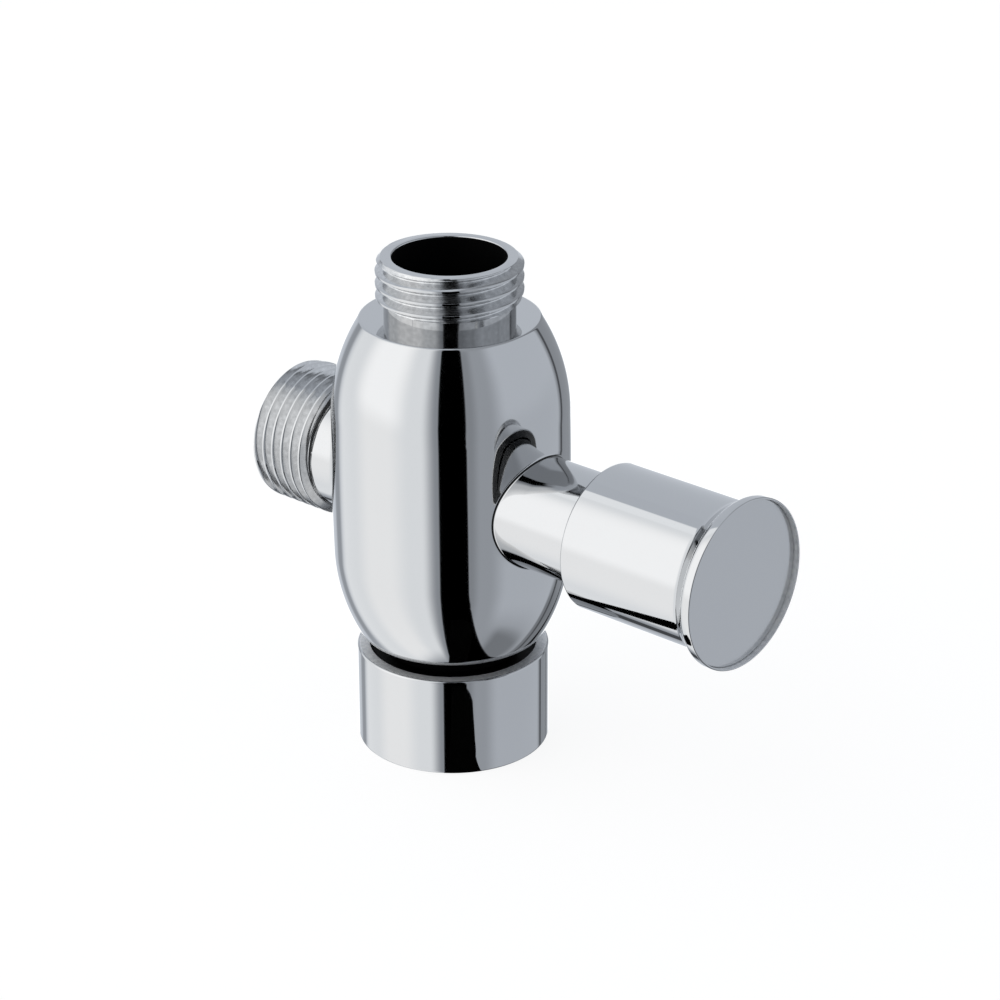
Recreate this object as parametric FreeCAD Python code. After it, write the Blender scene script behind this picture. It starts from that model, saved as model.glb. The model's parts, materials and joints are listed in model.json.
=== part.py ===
import FreeCAD, Part
import math
import os

# Three-way shower diverter valve with a push-pull knob.
# Origin: centre of the swivel nut's open face, which is the inlet. +Z is up the barrel, +X towards the knob.
# The knob is drawn pulled out. All sizes in millimetres.

# Pipe thread G 1/2, drawn plain: male at its crest, female at its root
thread_crest_r = 10.478
thread_depth = 1.162
thread_root_r = thread_crest_r - thread_depth

# Swivel nut at the inlet
nut_height = 14.8
nut_outer_r = 13.95
nut_edge = 0.3
nut_flange = 2.4
nut_collar = 1.8
nut_recess_depth = 1.0
nut_thread_length = 8.0
nut_mouth_chamfer = 0.5
nut_relief_depth = 0.9
nut_running_gap = 0.08
nut_gap = 1.7
nut_end_play = 0.3

# Tail of the body, on which the nut turns
tail_r = 8.2
tail_shoulder_r = 9.6
snap_wire_r = 0.75
snap_clearance = 0.1
snap_opening_deg = 40.0
washer_thickness = 1.8
washer_inner_r = 5.9
washer_clearance = 0.2

# Barrel: a long flat crown arc, and a tangent arc from it to the radius at each end
barrel_length = 48.9
barrel_edge = 0.25
axis_above_barrel_base = 23.7
belly_r = 17.19
belly_above_axis = 0.63
crown_arc_r = 452.0
crown_half_length = 10.8
shoulder_r = 12.83
base_r = 12.97
outline_spans = 16

# Top spigot, to the riser
top_relief_length = 2.8
relief_r = 9.35
top_thread_length = 6.2
spigot_rim_r = 9.8
thread_back_chamfer = 0.4
top_bore_r = 8.09
bore_edge = 0.3

# Side spigot, to the hand shower
side_relief_length = 2.31
side_thread_length = 11.0
side_fillet = 1.8
side_bore_r = 6.0

# Knob neck
neck_r = 8.1
neck_fillet = 0.5
neck_wall = 1.1
neck_thread_length = 11.0
neck_engagement = 3.6

# Waterways inside the body
chamber_r = 6.5
inlet_bore_r = 5.6
gallery_r = 10.5
gallery_floor = 3.0
gallery_roof = 3.7
inlet_passage_r = 3.5
inlet_passage_wall = 0.5
top_bore_floor = 4.5
top_passage_r = 2.5
seat_web = 2.4
side_seat_r = 4.3

# Diverter travel and seats
travel = 8.0
bush_seat_x = -1.0
seat_lip = 0.5
seat_lip_wall = 0.6
seat_clear = 0.1

# Poppet
poppet_core_r = 5.4
poppet_core_thickness = 1.5
poppet_seal_r = 5.2
poppet_seal_thickness = 1.5
poppet_washer_r = 3.2
poppet_washer_thickness = 0.8
poppet_nut_flats = 5.5
poppet_nut_height = 2.4
stud_r = 1.5
stud_end = 0.6
stud_hole_clearance = 0.1

# Guide bush
fit_gap = 0.05
bush_seat_r = 4.0
bush_seat_bore_length = 3.1
window_bore_r = 4.6
window_bore_length = 6.0
window_r = 2.1
window_count = 4
annulus_depth = 0.95
annulus_margin = 0.1
bush_seal_setback = 1.8
window_setback = 4.2
bush_outer_seal_setback = 2.6
bush_flange = 2.0
bush_flange_r = 7.8
bush_slot_width = 1.6
bush_slot_depth = 1.0
bush_seal_section_r = 0.7
bush_seal_groove = 1.7

# Spindle
shank_r = 2.5
land_r = 3.5
land_running_gap = 0.05
spindle_seal_section_r = 0.75
spindle_seal_groove = 1.7
spindle_seal_clear = 0.04
spindle_seal_lead = 2.0
spindle_seal_spacing = 4.0
land_lead = 1.6
spigot_r = 2.6
spigot_clearance = 0.1
spigot_length = 1.3

# Pull knob
knob_stand_off = 4.21
knob_length = 23.75
sleeve_r = 10.58
sleeve_gap = 0.3
sleeve_edge = 0.3
cove_r = 1.5
flare_slope_deg = 35.0
rim_step = 1.57
rim_band = 1.3
rim_edge = 0.15
rim_lip = 0.3
knob_web_clear = 3.5
knob_web = 1.4
dish_depth = 0.8
cap_flange = 0.5
cap_thickness = 1.2
cap_plug_r = 10.0
cap_clearance = 0.05
cap_edge = 0.1

# Knob screw and its spring washer
screw_r = 1.95
screw_hole_r = 2.0
screw_length = 11.0
screw_hole_extra = 1.2
screw_head_r = 3.5
screw_head_height = 1.9
screw_pocket_clearance = 0.7
screw_socket_flats = 2.5
screw_socket_depth = 1.1
spring_washer_r = 3.4
spring_washer_thickness = 0.7
spring_washer_slit = 0.8

# Heights worked out from the sizes above
barrel_base_z = nut_height + nut_gap
barrel_top_z = barrel_base_z + barrel_length
axis_height = barrel_base_z + axis_above_barrel_base
belly_z = axis_height + belly_above_axis
top_thread_z = barrel_top_z + top_relief_length
top_rim_z = top_thread_z + top_thread_length
flange_underside_z = nut_height - nut_flange
nut_recess_z = nut_height - nut_recess_depth
washer_z = nut_thread_length + washer_clearance
tail_end_z = washer_z + washer_thickness
snap_z = flange_underside_z - snap_clearance - snap_wire_r
crown_turn = math.asin(crown_half_length / crown_arc_r)
crown_end_r = belly_r - crown_arc_r * (1 - math.cos(crown_turn))
gallery_base_z = barrel_base_z + gallery_floor
gallery_top_z = axis_height - chamber_r - gallery_roof
top_bore_base_z = axis_height + chamber_r + top_bore_floor

# Places along the valve axis
side_thread_x = -(belly_r + side_relief_length)
side_end_x = side_thread_x - side_thread_length
side_fillet_limit = side_relief_length - thread_back_chamfer
bush_face_x = bush_seat_x + seat_lip
top_seal_x = bush_seat_x - seat_clear
core_x = top_seal_x - poppet_seal_thickness
side_seal_x = core_x - poppet_core_thickness
poppet_end_x = side_seal_x - poppet_seal_thickness
side_seat_x = poppet_end_x - travel - seat_clear
chamber_end_x = side_seat_x - seat_lip
side_bore_x = chamber_end_x - seat_web
stud_shoulder_x = top_seal_x + poppet_washer_thickness
nut_face_x = poppet_end_x - poppet_washer_thickness
knob_back_x = belly_r + knob_stand_off + travel
knob_face_x = knob_back_x + knob_length
neck_end_x = knob_back_x + neck_engagement
neck_thread_x = neck_end_x - neck_thread_length
neck_thread_r = neck_r - neck_wall
bush_end_x = neck_end_x + bush_flange
bush_inner_seal_x = bush_face_x + bush_seal_setback
bush_outer_seal_x = neck_thread_x - bush_outer_seal_setback
window_x = bush_inner_seal_x + window_setback
window_bore_x = bush_face_x + bush_seat_bore_length
guide_x = window_bore_x + window_bore_length
inner_ring_x = guide_x + travel + spindle_seal_lead
outer_ring_x = inner_ring_x + spindle_seal_spacing
land_x = inner_ring_x - land_lead
web_back_x = bush_end_x + travel + knob_web_clear
web_front_x = web_back_x + knob_web
rim_r = sleeve_r + rim_step
cap_r = rim_r - rim_lip - cap_clearance
cap_face_x = knob_face_x - dish_depth
cap_seat_x = cap_face_x - cap_flange
cap_back_x = cap_face_x - cap_thickness
screw_seat_x = web_front_x + spring_washer_thickness
inlet_passage_x = -(gallery_r - inlet_passage_r - inlet_passage_wall)
guide_bore_r = land_r + land_running_gap


def vector(x, y, z):
    return FreeCAD.Vector(x, y, z)


def turned_about_x(corners):
    """Solid turned about the valve axis from (x, radius) corners."""
    points = [vector(x, 0, axis_height + r) for x, r in corners]
    face = Part.Face(Part.makePolygon(points + points[:1]))
    return face.revolve(vector(0, 0, axis_height), vector(1, 0, 0), 360)


def turned_about_z(corners):
    """Solid turned about the barrel axis from (radius, z) corners, its seam at the back."""
    points = [vector(0, r, z) for r, z in corners]
    face = Part.Face(Part.makePolygon(points + points[:1]))
    return face.revolve(vector(0, 0, 0), vector(0, 0, 1), 360)


def bar_x(radius, x_start, x_end):
    """Round bar along the valve axis."""
    return Part.makeCylinder(radius, x_end - x_start, vector(x_start, 0, axis_height), vector(1, 0, 0))


def bar_z(radius, z_start, z_end, x=0.0):
    """Round bar along the barrel axis, or parallel to it at x."""
    return Part.makeCylinder(radius, z_end - z_start, vector(x, 0, z_start), vector(0, 0, 1))


def tube_x(outer_r, inner_r, x_start, x_end):
    return bar_x(outer_r, x_start, x_end).cut(bar_x(inner_r, x_start, x_end))


def ring_x(centre_r, section_r, x):
    """O-ring about the valve axis."""
    return Part.makeTorus(centre_r, section_r, vector(x, 0, axis_height), vector(1, 0, 0))


def hexagon_x(flats, x_start, x_end):
    """Hexagonal bar along the valve axis, by its width across flats."""
    corner_r = flats / math.sqrt(3)
    corners = []
    for side in range(6):
        turn = math.radians(60 * side)
        corners.append(vector(x_start, corner_r * math.cos(turn), axis_height + corner_r * math.sin(turn)))
    face = Part.Face(Part.makePolygon(corners + corners[:1]))
    return face.extrude(vector(x_end - x_start, 0, 0))


def edges_where(shape, test):
    """Edges whose middle point passes the test."""
    found = []
    for edge in shape.Edges:
        middle = edge.valueAt((edge.FirstParameter + edge.LastParameter) / 2)
        if test(middle):
            found.append(edge)
    return found


def distance_from_valve_axis(point):
    return math.hypot(point.y, point.z - axis_height)


def end_arc_radius(end_r, end_rise):
    """Radius of the arc that leaves the crown's end in line with it and meets the end radius."""
    inward = crown_end_r - end_r
    along = end_rise - crown_half_length
    drop = inward * math.cos(crown_turn) - along * math.sin(crown_turn)
    return (inward**2 + along**2) / (2 * drop)


def barrel_radius(z):
    """Outer radius of the barrel at a height: the crown arc, or the tangent arc beyond its end."""
    rise = abs(z - belly_z)
    if rise <= crown_half_length:
        return belly_r - crown_arc_r + math.sqrt(crown_arc_r**2 - rise**2)
    if z > belly_z:
        arc_r = end_arc_radius(shoulder_r, barrel_top_z - belly_z)
    else:
        arc_r = end_arc_radius(base_r, belly_z - barrel_base_z)
    centre_r = crown_end_r - arc_r * math.cos(crown_turn)
    centre_rise = crown_half_length - arc_r * math.sin(crown_turn)
    return centre_r + math.sqrt(arc_r**2 - (rise - centre_rise) ** 2)


def barrel():
    """The bulged barrel, turned from one smooth outline in the plane x = 0."""
    points = []
    for index in range(outline_spans + 1):
        z = barrel_base_z + barrel_length * index / outline_spans
        points.append(vector(0, barrel_radius(z), z))
    outline = Part.BSplineCurve()
    outline.interpolate(points)
    ends = Part.makePolygon([
        points[-1],
        vector(0, 0, barrel_top_z),
        vector(0, 0, barrel_base_z),
        points[0],
    ])
    face = Part.Face(Part.Wire([outline.toShape()] + ends.Edges))
    solid = face.revolve(vector(0, 0, 0), vector(0, 0, 1), 360)
    rims = edges_where(solid, lambda p: math.hypot(p.x, p.y) > relief_r and is_barrel_end(p.z))
    return solid.makeFillet(barrel_edge, rims)


def is_barrel_end(z):
    return abs(z - barrel_base_z) < 0.001 or abs(z - barrel_top_z) < 0.001


def top_spigot():
    """Threaded spigot above the shoulder, with a plain relief under its thread."""
    rim_chamfer = thread_crest_r - spigot_rim_r
    return turned_about_z([
        (0, barrel_top_z - barrel_edge),
        (relief_r, barrel_top_z - barrel_edge),
        (relief_r, top_thread_z - thread_back_chamfer),
        (thread_crest_r, top_thread_z),
        (thread_crest_r, top_rim_z - rim_chamfer),
        (spigot_rim_r, top_rim_z),
        (0, top_rim_z),
    ])


def side_spigot():
    """Threaded spigot away from the knob."""
    rim_chamfer = thread_crest_r - spigot_rim_r
    return turned_about_x([
        (0, 0),
        (0, relief_r),
        (side_thread_x + thread_back_chamfer, relief_r),
        (side_thread_x, thread_crest_r),
        (side_end_x + rim_chamfer, thread_crest_r),
        (side_end_x, spigot_rim_r),
        (side_end_x, 0),
    ])


def tail():
    """Inlet tail with the shoulder over the nut and the groove of the snap ring."""
    shoulder_z = nut_recess_z + nut_end_play
    groove_r = tail_r - snap_wire_r - fit_gap
    return turned_about_z([
        (0, tail_end_z),
        (tail_r, tail_end_z),
        (tail_r, snap_z - snap_wire_r - fit_gap),
        (groove_r, snap_z - snap_wire_r - fit_gap),
        (groove_r, snap_z + snap_wire_r + fit_gap),
        (tail_r, snap_z + snap_wire_r + fit_gap),
        (tail_r, shoulder_z),
        (tail_shoulder_r, shoulder_z),
        (tail_shoulder_r, barrel_base_z + barrel_edge),
        (0, barrel_base_z + barrel_edge),
    ])


def inlet_way():
    """Bore through the tail, the gallery in the barrel and the passage up into the chamber."""
    cone = gallery_r - inlet_bore_r
    gallery = turned_about_z([
        (0, tail_end_z),
        (inlet_bore_r, tail_end_z),
        (inlet_bore_r, gallery_base_z),
        (gallery_r, gallery_base_z + cone / 2),
        (gallery_r, gallery_top_z),
        (0, gallery_top_z),
    ])
    passage = bar_z(inlet_passage_r, gallery_top_z, axis_height, inlet_passage_x)
    return gallery.fuse(passage)


def top_way():
    """Bore of the top spigot and the passage down to the bush's windows."""
    bore = turned_about_z([
        (0, top_bore_base_z),
        (top_bore_r, top_bore_base_z),
        (top_bore_r, top_rim_z - bore_edge),
        (top_bore_r + bore_edge, top_rim_z),
        (0, top_rim_z),
    ])
    passage = bar_z(top_passage_r, axis_height, top_bore_base_z, window_x)
    return bore.fuse(passage)


def valve_way():
    """Chamber, side seat with its raised lip, and the bores to both ends of the valve axis."""
    lip_r = side_seat_r + seat_lip_wall
    return turned_about_x([
        (side_end_x, 0),
        (side_end_x, side_bore_r + bore_edge),
        (side_end_x + bore_edge, side_bore_r),
        (side_bore_x, side_bore_r),
        (side_bore_x, side_seat_r),
        (side_seat_x, side_seat_r),
        (side_seat_x, lip_r),
        (chamber_end_x, lip_r),
        (chamber_end_x, chamber_r),
        (neck_thread_x, chamber_r),
        (neck_thread_x, neck_thread_r),
        (neck_end_x, neck_thread_r),
        (neck_end_x, 0),
    ])


def valve_body():
    """The forging: barrel, both spigots, neck and tail, with its blends and waterways."""
    solid = barrel()
    solid = solid.fuse(side_spigot())
    joint_edges = edges_where(solid, lambda p: p.x < 0 and on_root(p, relief_r))
    solid = solid.makeFillet(min(side_fillet, side_fillet_limit), joint_edges)
    solid = solid.fuse(bar_x(neck_r, 0, neck_end_x))
    joint_edges = edges_where(solid, lambda p: p.x > 0 and on_root(p, neck_r))
    solid = solid.makeFillet(neck_fillet, joint_edges)
    solid = solid.fuse([top_spigot(), tail()])
    return solid.cut([inlet_way(), top_way(), valve_way()])


def on_root(point, branch_r):
    """True on the line where a branch of this radius leaves the barrel."""
    on_branch = abs(distance_from_valve_axis(point) - branch_r) < 0.001
    return on_branch and 0 < abs(point.x) < belly_r


def swivel_nut():
    """Plain round union nut: recessed flange on top, plain relief above the thread."""
    bore_r = tail_r + nut_running_gap
    relief = thread_root_r + nut_relief_depth
    mouth_r = thread_root_r + nut_mouth_chamfer
    recess_r = nut_outer_r - nut_collar
    return turned_about_z([
        (mouth_r, 0),
        (nut_outer_r - nut_edge, 0),
        (nut_outer_r, nut_edge),
        (nut_outer_r, nut_height - nut_edge),
        (nut_outer_r - nut_edge, nut_height),
        (recess_r, nut_height),
        (recess_r, nut_recess_z),
        (bore_r, nut_recess_z),
        (bore_r, flange_underside_z),
        (relief, flange_underside_z),
        (relief, nut_thread_length),
        (thread_root_r, nut_thread_length),
        (thread_root_r, nut_mouth_chamfer),
    ])


def nut_snap_ring():
    """Open wire ring, half sunk in the tail's groove."""
    section = Part.Face(Part.Wire(Part.makeCircle(snap_wire_r, vector(tail_r, 0, snap_z), vector(0, 1, 0))))
    ring = section.revolve(vector(0, 0, 0), vector(0, 0, 1), 360 - snap_opening_deg)
    ring.rotate(vector(0, 0, 0), vector(0, 0, 1), 90 + snap_opening_deg / 2)
    return ring


def inlet_washer():
    outer_r = thread_root_r - washer_clearance
    return bar_z(outer_r, washer_z, tail_end_z).cut(bar_z(washer_inner_r, washer_z, tail_end_z))


def seal_groove(outer_r, floor_r, width, x):
    """Ring-shaped cut about the valve axis, centred at x."""
    return tube_x(outer_r + 1, floor_r, x - width / 2, x + width / 2)


def guide_bush():
    """Bush in the neck: inner seat, window annulus, spindle guide, thread and slotted flange."""
    body_r = chamber_r - fit_gap
    solid = turned_about_x([
        (bush_seat_x, bush_seat_r),
        (bush_seat_x, bush_seat_r + seat_lip_wall),
        (bush_face_x, bush_seat_r + seat_lip_wall),
        (bush_face_x, body_r),
        (neck_thread_x + fit_gap, body_r),
        (neck_thread_x + fit_gap, neck_thread_r - fit_gap),
        (neck_end_x, neck_thread_r - fit_gap),
        (neck_end_x, bush_flange_r),
        (bush_end_x, bush_flange_r),
        (bush_end_x, guide_bore_r),
        (guide_x, guide_bore_r),
        (guide_x, window_bore_r),
        (window_bore_x, window_bore_r),
        (window_bore_x, bush_seat_r),
    ])
    floor_r = body_r - 2 * bush_seal_section_r
    cuts = [
        seal_groove(body_r, floor_r, bush_seal_groove, bush_inner_seal_x),
        seal_groove(body_r, floor_r, bush_seal_groove, bush_outer_seal_x),
        seal_groove(body_r, body_r - annulus_depth, 2 * (top_passage_r + annulus_margin), window_x),
    ]
    for index in range(window_count):
        turn = math.radians(360.0 / window_count * (index + 0.5))
        outward = vector(0, math.cos(turn), math.sin(turn))
        cuts.append(Part.makeCylinder(window_r, body_r, vector(window_x, 0, axis_height), outward))
    slot_x = bush_end_x - bush_slot_depth
    slot = Part.makeBox(bush_slot_depth, 2 * bush_flange_r, bush_slot_width)
    slot.translate(vector(slot_x, -bush_flange_r, axis_height - bush_slot_width / 2))
    cuts.append(slot)
    return solid.cut(cuts)


def bush_seal(x):
    """O-ring in the bush, just inside the bore that it seals."""
    outer_r = chamber_r - fit_gap / 2
    return ring_x(outer_r - bush_seal_section_r, bush_seal_section_r, x)


def spindle():
    """Stud for the poppet, slim shank, sealed land and the end that carries the knob."""
    floor_r = guide_bore_r - 2 * spindle_seal_section_r - 2 * spindle_seal_clear
    stud_end_x = nut_face_x - poppet_nut_height - stud_end
    solid = turned_about_x([
        (stud_end_x, 0),
        (stud_end_x, stud_r),
        (stud_shoulder_x, stud_r),
        (stud_shoulder_x, shank_r),
        (land_x - (land_r - shank_r), shank_r),
        (land_x, land_r),
        (web_back_x, land_r),
        (web_back_x, spigot_r),
        (web_back_x + spigot_length, spigot_r),
        (web_back_x + spigot_length, 0),
    ])
    hole_start_x = screw_seat_x - screw_length - screw_hole_extra
    return solid.cut([
        seal_groove(land_r, floor_r, spindle_seal_groove, inner_ring_x),
        seal_groove(land_r, floor_r, spindle_seal_groove, outer_ring_x),
        bar_x(screw_hole_r, hole_start_x, web_back_x + spigot_length),
    ])


def spindle_seal(x):
    """O-ring on the spindle, clear of its groove's floor and of the guide bore."""
    outer_r = guide_bore_r - spindle_seal_clear
    return ring_x(outer_r - spindle_seal_section_r, spindle_seal_section_r, x)


def poppet_disc(radius, x_start, thickness):
    """Disc on the spindle's stud, from x_start towards the side outlet."""
    return tube_x(radius, stud_r + stud_hole_clearance, x_start - thickness, x_start)


def poppet_nut():
    nut = hexagon_x(poppet_nut_flats, nut_face_x - poppet_nut_height, nut_face_x)
    return nut.cut(bar_x(stud_r + stud_hole_clearance, nut_face_x - poppet_nut_height, nut_face_x))


def pull_knob():
    """Round sleeve over the neck, flared out to the pull rim, with a dished end for the cap."""
    bore_r = neck_r + sleeve_gap
    band_x = knob_face_x - rim_band
    slope = math.radians(flare_slope_deg)
    cove_rise = cove_r * (1 - math.cos(slope))
    slope_x = band_x - (rim_step - cove_rise) / math.tan(slope)
    cove_x = slope_x - cove_r * math.sin(slope)

    def place(x, r):
        return vector(x, 0, axis_height + r)

    def on_cove(turn):
        return place(cove_x + cove_r * math.sin(turn), sleeve_r + cove_r * (1 - math.cos(turn)))

    cove = Part.Arc(on_cove(0), on_cove(slope / 2), on_cove(slope)).toShape()
    before = Part.makePolygon([
        place(web_back_x, spigot_r + spigot_clearance),
        place(web_back_x, bore_r),
        place(knob_back_x, bore_r),
        place(knob_back_x, sleeve_r - sleeve_edge),
        place(knob_back_x + sleeve_edge, sleeve_r),
        on_cove(0),
    ])
    pocket_r = screw_head_r + screw_pocket_clearance
    after = Part.makePolygon([
        on_cove(slope),
        place(band_x, rim_r),
        place(knob_face_x - rim_edge, rim_r),
        place(knob_face_x, rim_r - rim_edge),
        place(knob_face_x, cap_r + cap_clearance),
        place(cap_seat_x, cap_r + cap_clearance),
        place(cap_seat_x, cap_plug_r + cap_clearance),
        place(cap_back_x, cap_plug_r + cap_clearance),
        place(cap_back_x, pocket_r),
        place(web_front_x, pocket_r),
        place(web_front_x, spigot_r + spigot_clearance),
        place(web_back_x, spigot_r + spigot_clearance),
    ])
    face = Part.Face(Part.Wire(before.Edges + [cove] + after.Edges))
    return face.revolve(vector(0, 0, axis_height), vector(1, 0, 0), 360)


def knob_lock_washer():
    """Split spring washer between the knob's web and the screw head."""
    washer = tube_x(spring_washer_r, screw_r + fit_gap, web_front_x, screw_seat_x)
    slit = Part.makeBox(spring_washer_thickness, spring_washer_slit, spring_washer_r)
    slit.translate(vector(web_front_x, -spring_washer_slit / 2, axis_height))
    return washer.cut(slit)


def knob_screw():
    head_x = screw_seat_x + screw_head_height
    head = bar_x(screw_head_r, screw_seat_x, head_x)
    socket = hexagon_x(screw_socket_flats, head_x - screw_socket_depth, head_x)
    return bar_x(screw_r, screw_seat_x - screw_length, screw_seat_x).fuse(head).cut(socket)


def knob_cap():
    """Thin disc in the knob's end, its face a little below the rim, with a plug behind it."""
    return turned_about_x([
        (cap_back_x, 0),
        (cap_back_x, cap_plug_r),
        (cap_seat_x, cap_plug_r),
        (cap_seat_x, cap_r),
        (cap_face_x - cap_edge, cap_r),
        (cap_face_x, cap_r - cap_edge),
        (cap_face_x, 0),
    ])


def all_parts():
    return {
        "valve_body": valve_body(),
        "swivel_nut": swivel_nut(),
        "nut_snap_ring": nut_snap_ring(),
        "inlet_washer": inlet_washer(),
        "guide_bush": guide_bush(),
        "bush_seal_inner": bush_seal(bush_inner_seal_x),
        "bush_seal_outer": bush_seal(bush_outer_seal_x),
        "spindle": spindle(),
        "spindle_seal_inner": spindle_seal(inner_ring_x),
        "spindle_seal_outer": spindle_seal(outer_ring_x),
        "poppet_core": poppet_disc(poppet_core_r, core_x, poppet_core_thickness),
        "poppet_seal_top": poppet_disc(poppet_seal_r, top_seal_x, poppet_seal_thickness),
        "poppet_seal_side": poppet_disc(poppet_seal_r, side_seal_x, poppet_seal_thickness),
        "poppet_washer_top": poppet_disc(poppet_washer_r, stud_shoulder_x, poppet_washer_thickness),
        "poppet_washer_side": poppet_disc(poppet_washer_r, poppet_end_x, poppet_washer_thickness),
        "poppet_nut": poppet_nut(),
        "pull_knob": pull_knob(),
        "knob_lock_washer": knob_lock_washer(),
        "knob_screw": knob_screw(),
        "knob_cap": knob_cap(),
    }


def main():
    os.makedirs("parts", exist_ok=True)
    for name, shape in all_parts().items():
        solid = shape.Solids[0] if len(shape.Solids) == 1 else shape
        solid.exportStep(f"parts/{name}.step")
        print(f"{name}: {len(shape.Solids)} solid, {solid.Volume:.1f} mm3, valid {solid.isValid()}")


main()
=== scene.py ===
import json
import math
from collections import namedtuple

import bmesh
import bpy
from bpy.props import FloatProperty, FloatVectorProperty, IntProperty, PointerProperty
from mathutils import Matrix, Vector


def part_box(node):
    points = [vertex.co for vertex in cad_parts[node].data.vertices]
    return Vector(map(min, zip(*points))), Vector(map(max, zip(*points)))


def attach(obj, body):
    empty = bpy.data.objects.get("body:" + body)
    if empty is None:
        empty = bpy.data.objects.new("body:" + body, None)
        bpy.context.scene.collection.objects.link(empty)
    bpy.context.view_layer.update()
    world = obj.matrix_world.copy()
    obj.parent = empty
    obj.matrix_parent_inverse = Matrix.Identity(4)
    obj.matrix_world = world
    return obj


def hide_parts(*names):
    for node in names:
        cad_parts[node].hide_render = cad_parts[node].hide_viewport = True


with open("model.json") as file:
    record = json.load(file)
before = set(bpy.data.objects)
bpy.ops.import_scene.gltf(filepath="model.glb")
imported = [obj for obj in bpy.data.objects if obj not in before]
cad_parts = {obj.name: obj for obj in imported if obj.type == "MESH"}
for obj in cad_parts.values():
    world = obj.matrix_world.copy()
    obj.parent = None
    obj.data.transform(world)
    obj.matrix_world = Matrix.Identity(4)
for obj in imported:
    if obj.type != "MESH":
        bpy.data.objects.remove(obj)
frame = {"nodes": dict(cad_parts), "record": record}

bl_info = {
    "name": "Shower Diverter Valve",
    "version": (1, 0, 0),
    "blender": (4, 5, 0),
    "location": "View3D > Sidebar > Valve",
    "description": "Chrome pieces, finishes and studio for a push-pull shower diverter valve",
    "category": "Add Mesh",
}

MM = 0.001
FULL_TURN = 2 * math.pi
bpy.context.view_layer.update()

# Sizes that the frame already holds
BODY_LOW, BODY_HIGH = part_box("valve_body")
NUT_LOW, NUT_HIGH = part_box("swivel_nut")
KNOB_LOW, KNOB_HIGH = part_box("pull_knob")
CAP_LOW, CAP_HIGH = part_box("knob_cap")
MOUNTS = {mount["name"]: mount for mount in frame["record"]["mounts"]}
AXIS_HEIGHT = MOUNTS["side_outlet"]["pos_m"][2]
THREAD_CREST = MOUNTS["upper_outlet"]["dims"]["r_mm"] * MM

# An axis to turn shapes about: a point on it, its direction and a direction square to it
Axis = namedtuple("Axis", "origin along out")
BARREL_AXIS = Axis(Vector((0, 0, 0)), Vector((0, 0, 1)), Vector((1, 0, 0)))
KNOB_AXIS = Axis(Vector((0, 0, AXIS_HEIGHT)), Vector((1, 0, 0)), Vector((0, 0, 1)))
SIDE_AXIS = Axis(Vector((0, 0, AXIS_HEIGHT)), Vector((-1, 0, 0)), Vector((0, 0, 1)))

# Fineness of the meshes
TURN_STEPS = 192
THREAD_STEPS = 128
ROUND_STEPS = 5
# How far past a rounding a flat is held flat, and the shortest flat that needs it
HOLD = 0.04 * MM
SHORT_FLAT = 1.2 * MM
MERGE_GAP = 0.002 * MM
SHARP_ANGLE = math.radians(32)
OVERSHOOT = 1.0 * MM


def size(name, description, millimetres):
    return FloatProperty(name=name, description=description, default=millimetres * MM, unit="LENGTH", precision=5)


def measured(name, description, metres):
    return FloatProperty(name=name, description=description, default=metres, unit="LENGTH", precision=5)


def angle(name, description, degrees):
    return FloatProperty(name=name, description=description, default=math.radians(degrees), unit="ROTATION")


def share(name, description, default):
    return FloatProperty(name=name, description=description, default=default, min=0, soft_max=1, subtype="FACTOR")


def tint(name, description, default):
    return FloatVectorProperty(name=name, description=description, default=default, min=0, max=1, subtype="COLOR")


class BarrelSizes(bpy.types.PropertyGroup):
    base: size("Base", "Height of the barrel's lower end", 16.5)
    length: size("Length", "Height of the barrel itself", 48.9)
    belly: measured("Belly radius", "Largest radius of the barrel", BODY_HIGH.y)
    belly_rise: size("Belly rise", "Height of the widest place above the valve axis", 0.63)
    crown_arc: size("Crown arc", "Radius of the long flat arc of the outline", 452.0)
    crown_half: size("Crown half length", "Half the height of the flat arc", 10.8)
    shoulder: size("Shoulder radius", "Radius at the barrel's upper end", 12.83)
    foot: size("Foot radius", "Radius at the barrel's lower end", 12.97)
    top_edge: size("Top edge", "Rounding of the barrel's upper edge", 0.25)
    foot_edge: size("Foot edge", "Rounding of the barrel's lower edge", 1.2)
    rows: IntProperty(name="Rows", description="Rings of faces up the barrel", default=122)


class SpigotSizes(bpy.types.PropertyGroup):
    pitch: size("Pitch", "Pitch of the pipe thread", 1.814)
    crest: measured("Crest radius", "Outer radius of the male threads", THREAD_CREST)
    depth: size("Thread depth", "From crest to root", 1.162)
    round_reach: size("Crest rounding", "How far the rounding of a crest reaches down its flanks", 0.46)
    rim: size("Rim radius", "Outer radius of the flat rim before its edge", 9.8)
    rim_edge: size("Rim edge", "Rounding of the rim's outer edge", 0.15)
    relief: size("Relief radius", "Plain stretch behind each thread", 9.35)
    back_chamfer: size("Back chamfer", "Length of the slope from the relief to the crests", 0.4)
    core: size("Core radius", "Solid core under the thread", 8.9)
    top_relief: size("Top relief", "Plain stretch between shoulder and top thread", 2.8)
    side_thread: size("Side thread", "Length of the side thread", 11.0)
    side_fillet: size("Side fillet", "Blend between barrel and side spigot", 1.8)
    top_phase: angle("Top thread start", "Turn of the top thread about its axis", -37.7)
    side_phase: angle("Side thread start", "Turn of the side thread about its axis", -107.2)


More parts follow.
